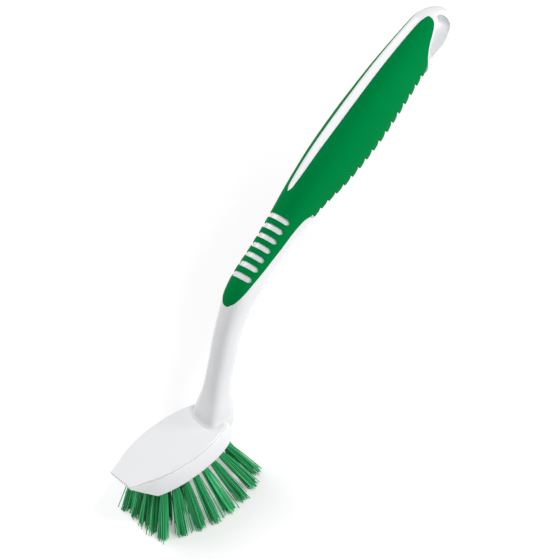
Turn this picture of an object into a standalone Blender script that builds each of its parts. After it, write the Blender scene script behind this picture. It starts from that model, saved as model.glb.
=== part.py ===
"""Kitchen brush, in metres with +Z up, standing on its bristle tips with the scraper edge towards -X.

The body is one white moulding: the bristle block with its scraper edge, the neck, and the core of the
handle with its hang loop. A soft green grip is moulded over the core. Each nylon tuft is folded round
a flat wire anchor, which is driven to the bottom of a slanted hole in the underside of the block.

Everything is drawn in one frame: x runs from the scraper edge towards the handle, y across the brush,
and z = 0 is the flat deck on top of the block. The last step stands the brush on the floor, centred.
"""

import math

import bmesh
import bpy
import numpy as np
from mathutils import Vector

# The block that holds the bristles
HEAD_LENGTH = 0.0665
HEAD_WIDTH = 0.0345
HEAD_HEIGHT = 0.0120
SCRAPER_WIDTH = 0.0160
SCRAPER_EDGE = 0.0014
SCRAPER_REACH = 0.0120
DECK_INSET = 0.0012

# The neck and the handle, measured along and across the line through their middle
HANDLE_REACH = 0.1829
HANDLE_RISE = 0.1501
NECK_DEPTH = 0.0133
NECK_WIDTH = 0.0124
GRIP_DEPTH = 0.0316
GRIP_WIDTH = 0.0238
FOOT_FLARE = 0.0012
FOOT_HEIGHT = 0.0040
END_ROUND = 0.0160

# The grip moulded over the core
GRIP_WALL = 0.0016
GAP = 0.0003
SPINE_WINDOW_WIDTH = 0.0064
WINDOW_OFFSET = 0.0014
RIB_WIDTH = 0.00281
RIB_BOW = 0.0006
RIB_RELIEF = 0.0006
RIB_COUNT = 7
TOOTH_COUNT = 17

# The hang loop's hole
LOOP_LENGTH = 0.0240
LOOP_LIFT = 0.0005

# The tufts, their holes and their anchors
BRISTLE_HEIGHT = 0.0275
TUFT_DIAMETER = 0.0032
HOLE_DEPTH = 0.0074
HOLE_MARGIN = 0.0044
FIRST_COLUMN = 0.0175
LAST_COLUMN_MARGIN = 0.0093
COLUMN_COUNT = 8
REAR_MARGIN = 0.0062
ROOT_PROUD = 0.0008
STRAND_RADIUS = 0.00030
ANCHOR_THICKNESS = 0.00035
ANCHOR_HEIGHT = 0.0020

# How far a cut runs past the surface that it cuts
OVERRUN = 0.004

# How finely curves are drawn
SECTION_POINTS = 20
LOFT_STEPS = 44
HOLE_SIDES = 10
RIB_STEPS = 13

# Shares of the head's length and of half its width, from the scraper's corner round to the back
plan_shares = (
    (0.10, 0.655), (0.22, 0.845), (0.36, 0.965), (0.50, 1.000), (0.64, 0.975),
    (0.77, 0.880), (0.87, 0.720), (0.945, 0.480), (0.986, 0.230),
)
# Shares of the head's height downwards, and of the deck's inset, down the side of the block
side_shares = ((0.00, 1.00), (0.06, 0.72), (0.16, 0.80), (0.27, 0.40), (0.42, 0.06), (0.94, 0.00), (1.00, 0.35))

# The handle's middle line as shares of its reach and rise from its foot on the deck, and how far its
# depth and its width have swollen there from the neck's to the grip's
foot_share = 0.925
handle_shares = (
    (-0.016, -0.053, 0.15, 0.30), (-0.005, -0.027, 0.20, 0.39), (0.000, 0.000, 0.21, 0.42),
    (0.010, 0.033, 0.18, 0.37), (0.021, 0.073, 0.07, 0.16), (0.032, 0.110, 0.01, 0.04),
    (0.046, 0.152, 0.00, 0.00), (0.064, 0.199, 0.00, 0.00), (0.091, 0.274, 0.01, 0.02),
    (0.125, 0.349, 0.06, 0.07), (0.162, 0.412, 0.17, 0.20), (0.206, 0.462, 0.19, 0.22),
    (0.254, 0.502, 0.18, 0.20), (0.303, 0.541, 0.22, 0.25), (0.354, 0.581, 0.33, 0.34),
    (0.445, 0.646, 0.63, 0.60), (0.537, 0.700, 0.92, 0.89), (0.652, 0.774, 1.00, 0.99),
    (0.763, 0.853, 0.92, 0.82), (0.843, 0.909, 0.81, 0.62), (0.920, 0.959, 0.70, 0.47),
    (1.000, 1.000, 0.62, 0.40),
)
# Places along the middle line, as shares of its length from the deck
nose_share = 0.260
ribs_share = 0.318
window_share = 0.515
teeth_share = 0.5035
teeth_end_share = 0.8850
loop_share = 0.938
grip_end_share = 0.9045
# The grip's lower edge from its nose to its first tooth: place along the length, share of half the depth
edge_shares = (
    (0.2588, 1.10), (0.2606, 1.00), (0.2680, 0.92), (0.2746, 0.82), (0.2926, 0.62), (0.3088, 0.49),
    (0.3513, 0.28), (0.3940, 0.18), (0.4226, 0.13), (0.4550, 0.11), (0.4834, 0.04), (0.4968, -0.11),
)
# One tooth: share of the pitch towards the head, and share of the tooth's height outwards
tooth_shares = (
    (0.10, 0.03), (0.28, 0.28), (0.45, 0.56), (0.60, 0.82), (0.80, 0.98), (1.01, 1.0), (0.96, 0.5), (0.94, 0.0),
)
first_tooth_from = 4
tooth_root_share = -0.25
tooth_tip_share = -0.50
# How far ahead of the first tooth the bare belly starts, as a share of the grip's depth
belly_lead_share = 0.45
# The grip's slanted end: place beyond its middle and depth, as shares of the grip's depth
end_shares = (
    (0.52, 0.33), (0.44, 0.27), (0.29, 0.205), (0.14, 0.12), (0.0, 0.0), (-0.085, -0.10), (-0.146, -0.19),
    (-0.24, -0.36), (-0.30, -0.50), (-0.34, -0.62),
)
# The hang hole's outline as shares of its length, along its slant and out towards the handle's end
loop_lean_share = 1.75
loop_shares = (
    (0.475, -0.02), (0.490, 0.135), (0.400, 0.300), (0.270, 0.385), (0.090, 0.345), (-0.100, 0.290),
    (-0.225, 0.230), (-0.360, 0.120), (-0.455, 0.010), (-0.320, -0.045), (-0.160, -0.070), (0.000, -0.080),
    (0.160, -0.075), (0.330, -0.050),
)
# The spine window's half width from its point at the lower end to the loop
window_shares = (
    (0.0, 0.0), (0.015, 0.32), (0.031, 0.50), (0.113, 0.74), (0.278, 0.90), (0.40, 1.0), (0.62, 1.0),
    (0.85, 1.0), (0.90, 1.10), (0.94, 1.40), (1.0, 1.70),
)
window_floor_share = 0.45
rib_reach_share = 0.86
rib_far_share = 0.94
rib_skew_share = 0.16
rib_turn_share = 0.98
section_power_share = 0.86
strand_rings_shares = ((1, 0.0), (6, 0.38), (7, 0.74))
fan_length_share = 0.50
fan_centre_share = 0.525
fan_width_shares = ((0.26, 0.36), (0.36, 0.70), (0.45, 0.90), (0.55, 1.05), (0.90, 1.05))
tuft_spread_share = 0.70
front_row_shares = (-1.0, -0.5, 0.0, 0.5, 1.0)
inner_row_share = 0.36
inner_columns = (1, 2)


def clear_scene():
    for thing in list(bpy.data.objects):
        bpy.data.objects.remove(thing, do_unlink=True)


def material(name, colour, roughness, metallic):
    made = bpy.data.materials.new(name)
    made.use_nodes = True
    shader = made.node_tree.nodes["Principled BSDF"]
    shader.inputs["Base Color"].default_value = (*colour, 1.0)
    shader.inputs["Roughness"].default_value = roughness
    shader.inputs["Metallic"].default_value = metallic
    return made


def smooth_line(points, steps):
    """Points on a curve that passes through the given ones, with this many steps between two of them."""
    points = [np.array(point, float) for point in points]
    points = [2 * points[0] - points[1], *points, 2 * points[-1] - points[-2]]
    line = []
    for before, start, end, after in zip(points, points[1:], points[2:], points[3:]):
        for step in range(steps):
            u = step / steps
            line.append(
                0.5 * (2 * start + (end - before) * u
                       + (2 * before - 5 * start + 4 * end - after) * u ** 2
                       + (3 * start - before - 3 * end + after) * u ** 3)
            )
    line.append(points[-2])
    return line


def surface_share(across):
    """How high the handle's surface stands at this share of its half width, as a share of half its depth."""
    return max(0.0, 1 - abs(across) ** (2 / section_power_share)) ** (section_power_share / 2)


class Handle:
    """The handle's middle line, by length from the deck, with half its depth and half its width."""

    def __init__(self):
        foot_x = HEAD_LENGTH * foot_share
        stations = [
            (foot_x + reach * HANDLE_REACH, rise * HANDLE_RISE, depth, width)
            for reach, rise, depth, width in handle_shares
        ]
        line = np.array(smooth_line(stations, 8))
        self.x, self.z, self.depth_swell, self.width_swell = line.T
        steps = np.hypot(np.diff(self.x), np.diff(self.z))
        run = np.concatenate([[0.0], np.cumsum(steps)])
        self.run = run - np.interp(0.0, self.z[:24], run[:24])
        self.start = self.run[0]
        self.length = self.run[-1]

    def along(self, share):
        return share * self.length

    def middle(self, s):
        return Vector((np.interp(s, self.run, self.x), 0.0, np.interp(s, self.run, self.z)))

    def directions(self, s):
        """Unit vectors along the handle and towards its top side."""
        step = self.length / 200
        ahead = self.middle(min(s + step, self.length)) - self.middle(max(s - step, self.start))
        ahead.normalize()
        return ahead, Vector((-ahead.z, 0.0, ahead.x))

    def half_sizes(self, s):
        depth = NECK_DEPTH + (GRIP_DEPTH - NECK_DEPTH) * np.interp(s, self.run, self.depth_swell)
        width = NECK_WIDTH + (GRIP_WIDTH - NECK_WIDTH) * np.interp(s, self.run, self.width_swell)
        flare = FOOT_FLARE * max(0.0, 1 - abs(s) / FOOT_HEIGHT) ** 2
        past = max(0.0, s - (self.length - END_ROUND)) / END_ROUND
        ending = max(0.0, 1 - past ** 2) ** 0.5
        return (depth / 2 + flare) * ending, (width / 2 + flare) * ending

    def place(self, s, depth, across=0.0):
        """The point this far along the handle, up from its middle line and across it."""
        top = self.directions(s)[1]
        return self.middle(s) + top * depth + Vector((0.0, across, 0.0))

    def section(self, s, inwards):
        """The ring round the handle, drawn this far in from its surface."""
        half_depth, half_width = self.half_sizes(s)
        half_depth, half_width = max(half_depth - inwards, 0), max(half_width - inwards, 0)
        ring = []
        for i in range(SECTION_POINTS):
            turn = math.tau * (i + 0.5) / SECTION_POINTS
            across = math.copysign(abs(math.cos(turn)) ** section_power_share, math.cos(turn))
            up = math.copysign(abs(math.sin(turn)) ** section_power_share, math.sin(turn))
            ring.append(self.place(s, half_depth * up, half_width * across))
        return ring


def new_object(name, bm, look=None, smooth=True):
    bmesh.ops.recalc_face_normals(bm, faces=bm.faces)
    mesh = bpy.data.meshes.new(name)
    bm.to_mesh(mesh)
    bm.free()
    return placed(name, mesh, look, smooth)


def placed(name, mesh, look=None, smooth=True):
    """An object of this mesh under the brush's own origin. One with no look is a cutter."""
    thing = bpy.data.objects.new(name, mesh)
    bpy.context.scene.collection.objects.link(thing)
    thing.parent = bpy.data.objects["brush_origin"]
    if look is None:
        thing.hide_render = True
        thing.display_type = "WIRE"
        return thing
    if not mesh.materials:
        mesh.materials.append(look)
    if smooth:
        mesh.shade_smooth()
        mesh.set_sharp_from_angle(angle=math.radians(35))
    return thing


def combine(thing, operation, other):
    modifier = thing.modifiers.new(f"{operation.lower()}_{other.name}", "BOOLEAN")
    modifier.operation = operation
    modifier.solver = "EXACT"
    if isinstance(other, bpy.types.Collection):
        modifier.operand_type = "COLLECTION"
        modifier.collection = other
    else:
        modifier.object = other


def loft(name, rings, look=None):
    """A closed skin over rings of as many points each."""
    bm = bmesh.new()
    loops = [[bm.verts.new(point) for point in ring] for ring in rings]
    for lower, upper in zip(loops, loops[1:]):
        for i in range(len(lower)):
            j = (i + 1) % len(lower)
            bm.faces.new((lower[i], lower[j], upper[j], upper[i]))
    bm.faces.new(reversed(loops[0]))
    bm.faces.new(loops[-1])
    return new_object(name, bm, look)


def handle_loft(name, handle, inwards, first, last, look=None):
    """The handle's skin between two places along it, closer drawn where its end rounds off."""
    even = np.linspace(first, min(last, handle.length - END_ROUND), LOFT_STEPS)
    turned = [math.sin(math.pi / 2 * step / 7) for step in range(1, 7)] + [0.995]
    round_end = [handle.length - END_ROUND * (1 - share) for share in turned]
    stops = [*even, *(s for s in round_end if s < last)]
    return loft(name, [handle.section(s, inwards) for s in stops], look)


def prism(name, outline, half_width):
    """A side view of points in x and z, drawn out across the brush."""
    sides = [
        [Vector((point.x, across, point.z)) for point in outline]
        for across in (-half_width, half_width)
    ]
    return loft(name, sides)


def plan_outline(inset):
    """The block seen from above, as points from one scraper corner round the back to the other."""
    corner = (0.0, SCRAPER_WIDTH / 2)
    side = [corner, *((x * HEAD_LENGTH, y * HEAD_WIDTH / 2) for x, y in plan_shares)]
    half = smooth_line([*side, (HEAD_LENGTH, 0.0), (side[-1][0], -side[-1][1])], 2)
    half = half[: 2 * len(side)]
    half = [*half, np.array((HEAD_LENGTH, 0.0))]
    ring = half + [np.array((x, -y)) for x, y in reversed(half[:-1])]
    drawn_in = []
    for i, point in enumerate(ring):
        before, after = ring[i - 1], ring[(i + 1) % len(ring)]
        run = (after - before) / np.linalg.norm(after - before)
        drawn_in.append(point + inset * np.array((run[1], -run[0])))
    return drawn_in


def half_width_at(x):
    """Half the block's width at this place along it."""
    stations = [(0.0, SCRAPER_WIDTH / HEAD_WIDTH), *plan_shares, (1.0, 0.0)]
    lengths, halves = zip(*stations)
    return np.interp(x / HEAD_LENGTH, lengths, halves) * HEAD_WIDTH / 2


def block():
    """The bristle block, with its flat deck and the slope behind its scraper edge."""
    rings = [
        [Vector((x, y, -down * HEAD_HEIGHT)) for x, y in plan_outline(inset * DECK_INSET)]
        for down, inset in side_shares
    ]
    made = loft("block", rings)
    slope = (HEAD_HEIGHT - SCRAPER_EDGE) / SCRAPER_REACH
    under = [
        Vector((-OVERRUN, 0, OVERRUN * slope - SCRAPER_EDGE)),
        Vector((SCRAPER_REACH + OVERRUN, 0, -HEAD_HEIGHT - OVERRUN * slope)),
        Vector((-OVERRUN, 0, -HEAD_HEIGHT - OVERRUN * slope)),
    ]
    combine(made, "DIFFERENCE", prism("scraper_cutter", under, HEAD_WIDTH))
    return made


def tooth_edge(handle, first, last, grow):
    """The grip's lower edge along its teeth, from the handle's end towards the head."""
    pitch = (last - first) / TOOTH_COUNT
    edge = []
    for i in range(TOOTH_COUNT):
        for towards_head, outwards in tooth_shares[0 if i else first_tooth_from:]:
            s = last - (i + towards_head) * pitch
            share = tooth_root_share + (tooth_tip_share - tooth_root_share) * outwards
            edge.append(handle.place(s, share * handle.half_sizes(s)[0] - grow))
    return edge


def grip_zone(name, handle, grow, with_teeth):
    """The side view of where the grip lies. A pocket's is grown by the gap, and goes round the belly."""
    end = handle.along(grip_end_share)
    far = GRIP_DEPTH
    nose = [
        handle.place(handle.along(share), depth * handle.half_sizes(handle.along(share))[0])
        for share, depth in edge_shares
    ]
    runs = [after - before for before, after in zip([nose[0], *nose], [*nose[1:], nose[-1]])]
    nose = [
        point + Vector((run.z, 0.0, -run.x)).normalized() * grow for point, run in zip(nose, runs)
    ]
    first, last = handle.along(teeth_share), handle.along(teeth_end_share)
    if with_teeth:
        low = tooth_edge(handle, first, last, grow)
        low += [handle.place(first, tooth_root_share * handle.half_sizes(first)[0])]
    else:
        start = first - belly_lead_share * far
        low = [handle.place(last - step * (last - start) / 12, -far * 2 / 3) for step in range(13)]
    deepest = tooth_root_share / 2 if with_teeth else -1
    line = [(along * far, depth * far) for along, depth in end_shares if depth > deepest]
    slanted = [handle.place(end + along + 1.4 * grow, depth) for along, depth in line]
    top = [
        handle.place(end + (handle.along(nose_share) - end) * step / 12, far)
        for step in range(1, 13)
    ]
    corner = handle.place(end + line[0][0] + 1.4 * grow, far)
    return prism(name, [*reversed(nose), *top[::-1], corner, *slanted, *low], GRIP_WIDTH)


def spine_cutter(name, handle, shrink):
    """The long window along the spine, from its point near the ribs to past the loop."""
    first, last = handle.along(window_share) + shrink, handle.length
    sides = smooth_line([
        (first + share * (last - first), max(width * SPINE_WINDOW_WIDTH / 2 - shrink, GAP / 2))
        for share, width in window_shares
    ], 3)
    rings = []
    for s, half in sides:
        half_depth = handle.half_sizes(min(s, last - END_ROUND))[0]
        low, high = window_floor_share * half_depth, half_depth + OVERRUN
        near, away = WINDOW_OFFSET - half, WINDOW_OFFSET + half
        rings.append([
            handle.place(s, depth, across)
            for depth, across in ((low, near), (low, away), (high, away), (high, near))
        ])
    return loft(name, rings)


def rib_cutters(name, handle, shrink, relief):
    """The row of bowed windows across the top of the grip, as one cutter collection. With a relief, each
    stops this far inside the handle's surface, so that what it spares is a low land."""
    group = bpy.data.collections.new(name)
    bpy.context.scene.collection.children.link(group)
    for i in range(RIB_COUNT):
        middle = handle.along(ribs_share) + (2 * i + 0.5) * RIB_WIDTH
        half_depth, half_width = handle.half_sizes(middle)
        near, away = rib_reach_share * half_width, rib_far_share * half_width
        reach, centre = (near + away) / 2 - shrink, (away - near) / 2
        half = RIB_WIDTH / 2 - shrink
        rings = []
        for turn in np.linspace(-math.pi / 2, math.pi / 2, RIB_STEPS) * rib_turn_share:
            out = reach * math.sin(turn)
            across = centre + out
            past = max(0.0, abs(out) - (reach - half)) / half
            narrowed = half * math.sqrt(max(1 - past ** 2, 0.02))
            s = middle - rib_skew_share * across - RIB_BOW * (across / reach) ** 2
            top = half_depth + OVERRUN
            if relief:
                top = (half_depth - relief) * surface_share(across / (half_width - relief))
            low = window_floor_share * half_depth * surface_share(across / half_width) + shrink
            rings.append([
                handle.place(s + side * narrowed, depth, across)
                for side, depth in ((-1, low), (1, low), (1, top), (-1, top))
            ])
        cutter = loft(f"{name}_{i + 1}", rings)
        bpy.context.scene.collection.objects.unlink(cutter)
        group.objects.link(cutter)
    return group


def grip(handle, look):
    """The soft sleeve, with its rib windows, its spine window and its toothed lower edge."""
    first = handle.along(nose_share) - OVERRUN * 2
    made = handle_loft("grip_sleeve", handle, 0.0, first, handle.length * 0.995, look)
    core = handle_loft("grip_bore", handle, GRIP_WALL, first - OVERRUN, handle.length * 0.990)
    combine(made, "DIFFERENCE", core)
    combine(made, "INTERSECT", grip_zone("grip_zone", handle, 0.0, True))
    combine(made, "DIFFERENCE", spine_cutter("spine_window", handle, 0.0))
    combine(made, "DIFFERENCE", rib_cutters("rib_windows", handle, 0.0, 0.0))
    return made


def pocket(handle):
    """What the core loses to the grip: its sleeve grown by the gap, and its windows shrunk by it."""
    first = handle.along(nose_share) - OVERRUN * 2
    made = handle_loft("pocket", handle, -OVERRUN / 2, first, handle.length * 0.995)
    floor = handle_loft("pocket_floor", handle, GRIP_WALL + GAP, first - OVERRUN, handle.length * 0.990)
    combine(made, "DIFFERENCE", floor)
    combine(made, "INTERSECT", grip_zone("pocket_zone", handle, GAP, False))
    combine(made, "DIFFERENCE", spine_cutter("spine_land", handle, GAP))
    combine(made, "DIFFERENCE", rib_cutters("rib_lands", handle, GAP, RIB_RELIEF))
    return made


def loop_cutter(handle):
    """The hang hole: long and slanted, nearly straight towards the grip and round towards the end."""
    middle = handle.along(loop_share)
    slant = math.atan2(1.0, loop_lean_share)
    curve = smooth_line([*loop_shares[-1:], *loop_shares, *loop_shares[:2]], 2)[2: -3]
    outline = []
    for along, out in curve:
        s = middle + LOOP_LENGTH * (along * math.cos(slant) + out * math.sin(slant))
        depth = LOOP_LIFT + LOOP_LENGTH * (along * math.sin(slant) - out * math.cos(slant))
        outline.append(handle.place(s, depth))
    return prism("loop_cutter", outline, GRIP_WIDTH)


def tuft_places():
    """The middle of each tuft on the underside of the block."""
    last = HEAD_LENGTH - LAST_COLUMN_MARGIN
    columns = [
        FIRST_COLUMN + (last - FIRST_COLUMN) * i / (COLUMN_COUNT - 1) for i in range(COLUMN_COUNT)
    ]
    reaches = [half_width_at(x) - HOLE_MARGIN for x in columns]
    places = [(columns[0], share * reaches[0]) for share in front_row_shares]
    for x, reach in zip(columns[1:], reaches[1:]):
        places += [(x, -reach), (x, reach)]
    for column in inner_columns:
        inner = inner_row_share * reaches[column]
        places += [(columns[column], -inner), (columns[column], inner)]
    places.append((HEAD_LENGTH - REAR_MARGIN, 0.0))
    return [Vector((x, y, -HEAD_HEIGHT)) for x, y in places]


def tip_of(root):
    """Where a tuft that starts at this root meets the floor: the tufts fan out from the block's middle."""
    widened = np.interp(root.x / HEAD_LENGTH, *zip(*fan_width_shares))
    return Vector((
        root.x + fan_length_share * (root.x - fan_centre_share * HEAD_LENGTH),
        root.y * (1 + widened),
        -HEAD_HEIGHT - BRISTLE_HEIGHT,
    ))


def cylinder(bm, start, end, radius, sides):
    """A round bar from one point to another. Its ends are square to it."""
    turned = (end - start).to_track_quat("Z", "Y")
    rings = []
    for centre in (start, end):
        rings.append([
            bm.verts.new(centre + turned @ Vector((
                radius * math.cos(math.tau * i / sides), radius * math.sin(math.tau * i / sides), 0.0)))
            for i in range(sides)
        ])
    for i in range(sides):
        j = (i + 1) % sides
        bm.faces.new((rings[0][i], rings[0][j], rings[1][j], rings[1][i]))
    bm.faces.new(reversed(rings[0]))
    bm.faces.new(rings[1])


def drills(places):
    """The slanted holes for the tufts, as one cutter collection."""
    group = bpy.data.collections.new("tuft_holes")
    bpy.context.scene.collection.children.link(group)
    for i, root in enumerate(places):
        ahead = (tip_of(root) - root).normalized()
        bm = bmesh.new()
        radius = TUFT_DIAMETER / 2 + GAP
        cylinder(bm, root - ahead * HOLE_DEPTH, root + ahead * OVERRUN, radius, HOLE_SIDES)
        drill = new_object(f"drill_{i + 1:02d}", bm)
        bpy.context.scene.collection.objects.unlink(drill)
        group.objects.link(drill)
    return group


def strands(name, root, ahead):
    """The strands of one tuft, three-sided, spreading to tips that are cut flat at the floor."""
    bm = bmesh.new()
    turned = ahead.to_track_quat("Z", "Y")
    tip = tip_of(root)
    for count, share in strand_rings_shares:
        for i in range(count):
            turn = math.tau * i / count
            offset = Vector((math.cos(turn), math.sin(turn), 0.0)) * share * TUFT_DIAMETER / 2
            start = root + turned @ offset
            end = tip + (start - root) * (1 + tuft_spread_share)
            end.z = tip.z
            rings = []
            for centre in (start, end):
                ring = []
                for corner in range(3):
                    around = math.tau * corner / 3 + turn
                    ring.append(bm.verts.new(centre + Vector((
                        STRAND_RADIUS * math.cos(around), STRAND_RADIUS * math.sin(around), 0.0))))
                rings.append(ring)
            for corner in range(3):
                other = (corner + 1) % 3
                bm.faces.new((rings[0][corner], rings[0][other], rings[1][other], rings[1][corner]))
            bm.faces.new(reversed(rings[0]))
            bm.faces.new(rings[1])
    return new_object(name, bm)


def tuft(number, root, look):
    """One tuft: the folded bundle in its hole, slotted for its anchor, with its strands fused to it."""
    ahead = (tip_of(root) - root).normalized()
    inner = root - ahead * (HOLE_DEPTH - GAP)
    bm = bmesh.new()
    cylinder(bm, inner, root + ahead * ROOT_PROUD, TUFT_DIAMETER / 2, HOLE_SIDES)
    made = new_object(f"tuft_{number:02d}", bm, look)
    combine(made, "UNION", strands(f"strands_{number:02d}", root, ahead))
    slot = placed(f"anchor_slot_{number:02d}", bpy.data.meshes["anchor_slot"])
    combine(made, "DIFFERENCE", slot)
    return made, slot, inner, ahead


def plate(name, length, thickness, low, high):
    """A flat plate standing on its long edge, from one height to another."""
    bm = bmesh.new()
    bmesh.ops.create_cube(bm, size=1)
    for vertex in bm.verts:
        x, y, z = vertex.co
        vertex.co = (x * length, y * thickness, low + (z + 0.5) * (high - low))
    bmesh.ops.recalc_face_normals(bm, faces=bm.faces)
    mesh = bpy.data.meshes.new(name)
    bm.to_mesh(mesh)
    bm.free()
    return mesh


def tufts_and_anchors(places, nylon, wire):
    """Every tuft with the flat wire anchor that holds its fold at the bottom of its hole."""
    width = TUFT_DIAMETER
    plate("anchor_slot", width + OVERRUN, ANCHOR_THICKNESS + 2 * GAP, -OVERRUN / 4, ANCHOR_HEIGHT + GAP)
    shape = plate("anchor", width, ANCHOR_THICKNESS, 0.0, ANCHOR_HEIGHT)
    for number, root in enumerate(places, 1):
        slot, inner, ahead = tuft(number, root, nylon)[1:]
        anchor = placed(f"anchor_{number:02d}", shape, wire, smooth=False)
        for thing in (slot, anchor):
            thing.location = inner
            thing.rotation_euler = ahead.to_track_quat("Z", "Y").to_euler()


def stand_on_floor(origin):
    """Moves the brush so that the middle of its box's base is at the world's origin."""
    bpy.context.view_layer.update()
    graph = bpy.context.evaluated_depsgraph_get()
    corners = []
    for thing in origin.children_recursive:
        if not thing.hide_render:
            seen = thing.evaluated_get(graph)
            corners += [seen.matrix_world @ Vector(corner) for corner in seen.bound_box]
    low = Vector(map(min, zip(*corners)))
    high = Vector(map(max, zip(*corners)))
    origin.location = (-(low.x + high.x) / 2, -(low.y + high.y) / 2, -low.z)


def build():
    clear_scene()
    origin = bpy.data.objects.new("brush_origin", None)
    bpy.context.scene.collection.objects.link(origin)
    white = material("white_plastic", (0.86, 0.87, 0.88), 0.28, 0.0)
    green = material("green_soft_plastic", (0.0, 0.33, 0.10), 0.42, 0.0)
    nylon = material("green_nylon", (0.02, 0.40, 0.12), 0.35, 0.0)
    wire = material("anchor_wire", (0.75, 0.75, 0.74), 0.30, 1.0)

    handle = Handle()
    places = tuft_places()
    body = handle_loft("handle_body", handle, 0.0, handle.start, handle.length, white)
    combine(body, "UNION", block())
    combine(body, "DIFFERENCE", pocket(handle))
    combine(body, "DIFFERENCE", loop_cutter(handle))
    combine(body, "DIFFERENCE", drills(places))
    grip(handle, green)
    tufts_and_anchors(places, nylon, wire)
    stand_on_floor(origin)


build()
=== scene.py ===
"""The looks of a white kitchen brush with a soft green grip and green nylon bristles."""

import math

import bmesh
import bpy
import numpy as np
from mathutils import Matrix, Vector


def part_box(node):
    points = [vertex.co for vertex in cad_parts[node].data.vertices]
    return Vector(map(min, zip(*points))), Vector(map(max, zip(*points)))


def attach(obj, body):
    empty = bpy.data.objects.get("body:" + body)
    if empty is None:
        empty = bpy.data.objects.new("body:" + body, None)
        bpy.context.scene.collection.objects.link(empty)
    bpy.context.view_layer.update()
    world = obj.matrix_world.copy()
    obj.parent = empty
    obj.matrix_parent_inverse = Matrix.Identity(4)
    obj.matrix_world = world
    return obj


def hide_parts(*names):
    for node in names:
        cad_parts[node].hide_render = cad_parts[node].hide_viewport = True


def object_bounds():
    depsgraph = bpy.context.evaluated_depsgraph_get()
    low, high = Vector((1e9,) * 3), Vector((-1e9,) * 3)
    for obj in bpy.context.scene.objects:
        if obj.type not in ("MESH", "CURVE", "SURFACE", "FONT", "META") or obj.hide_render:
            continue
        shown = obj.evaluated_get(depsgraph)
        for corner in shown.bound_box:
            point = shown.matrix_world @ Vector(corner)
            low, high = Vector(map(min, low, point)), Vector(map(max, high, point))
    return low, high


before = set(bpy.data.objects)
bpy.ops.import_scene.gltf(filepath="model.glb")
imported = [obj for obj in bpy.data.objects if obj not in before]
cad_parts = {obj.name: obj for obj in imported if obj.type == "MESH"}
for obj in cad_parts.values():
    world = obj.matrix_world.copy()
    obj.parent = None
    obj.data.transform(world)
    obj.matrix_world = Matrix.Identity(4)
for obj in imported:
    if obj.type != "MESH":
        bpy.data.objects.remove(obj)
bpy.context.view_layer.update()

# The white moulding is one piece of glossy polypropylene: the block that holds the bristles, with its thin
# scraper edge and a groove under its deck's edge, the neck, and the core of the handle down to its hang
# loop. It is drawn like the CAD body, with far finer sections and a rounded rim round the loop's hole.
HEAD_LENGTH = 0.0665
HEAD_WIDTH = 0.0345
HEAD_HEIGHT = 0.0120
SCRAPER_WIDTH = 0.0160
SCRAPER_EDGE = 0.0014
SCRAPER_REACH = 0.0120
DECK_INSET = 0.0012
HANDLE_REACH = 0.1829
HANDLE_RISE = 0.1501
NECK_DEPTH = 0.0133
NECK_WIDTH = 0.0124
GRIP_DEPTH = 0.0316
GRIP_WIDTH = 0.0238
FOOT_TOE = 0.0004
TOE_HEIGHT = 0.0120
FILLET_HEIGHT = 0.0024
FILLET_REACH = 0.0012
FOOT_ZONE = 0.0050
SQUARED_HEIGHT = 0.0240
END_ROUND = 0.0160
LOOP_LENGTH = 0.0240
LOOP_LIFT = 0.0021
LOOP_RIM_ROUND = 0.0005
GRIP_WALL = 0.0016
SEAM = 0.00004
OVERRUN = 0.004
THINNEST = 0.00001
section_power = 0.86
foot_power = 0.56
squaring_power = 1.5
fillet_side_share = 0.3
fillet_rise = 1.4
plan_shares = (
    (0.10, 0.655), (0.22, 0.845), (0.36, 0.965), (0.50, 1.000), (0.64, 0.975),
    (0.77, 0.895), (0.87, 0.760), (0.945, 0.555), (0.986, 0.310),
)
side_shares = (
    (0.000, 2.00), (0.000, 1.20), (0.004, 1.02), (0.014, 0.92), (0.030, 0.86), (0.050, 0.82), (0.075, 0.78),
    (0.100, 0.73), (0.130, 0.66), (0.170, 0.55), (0.22, 0.42), (0.30, 0.25), (0.42, 0.08), (0.60, 0.00),
    (0.90, 0.00), (0.965, 0.06), (0.990, 0.20), (1.000, 0.40),
)
groove_shares = (
    (0.040, 0.0), (0.054, 0.50), (0.078, 0.90), (0.102, 0.88), (0.122, 0.45), (0.136, 0.10), (0.150, 0.0),
)
groove_fade_share = 0.07
front_inset_share = 0.22
full_inset_share = 0.11
foot_share = 0.925
curve_steps = 8
end_steps = 26
end_stop_share = 0.9985
handle_shares = (
    (-0.016, -0.053, 0.15, 0.30), (-0.005, -0.027, 0.20, 0.39), (0.000, 0.000, 0.21, 0.42),
    (0.010, 0.033, 0.18, 0.37), (0.021, 0.073, 0.07, 0.16), (0.032, 0.110, 0.01, 0.04),
    (0.046, 0.152, 0.00, 0.00), (0.064, 0.199, 0.00, 0.00), (0.091, 0.274, 0.01, 0.02),
    (0.125, 0.349, 0.06, 0.07), (0.162, 0.412, 0.17, 0.20), (0.206, 0.462, 0.19, 0.22),
    (0.254, 0.502, 0.18, 0.20), (0.303, 0.541, 0.22, 0.25), (0.354, 0.581, 0.33, 0.34),
    (0.445, 0.646, 0.63, 0.60), (0.537, 0.700, 0.92, 0.89), (0.652, 0.774, 1.00, 0.99),
    (0.763, 0.852, 0.92, 0.82), (0.843, 0.906, 0.80, 0.62), (0.922, 0.952, 0.69, 0.47),
    (1.004, 0.989, 0.62, 0.42),
)
loop_share = 0.936
loop_lean = 1.75
loop_shares = (
    (0.475, -0.02), (0.490, 0.135), (0.400, 0.300), (0.270, 0.385), (0.090, 0.345), (-0.100, 0.290),
    (-0.225, 0.230), (-0.360, 0.120), (-0.455, 0.010), (-0.320, -0.045), (-0.160, -0.070), (0.000, -0.080),
    (0.160, -0.075), (0.330, -0.050),
)


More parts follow.
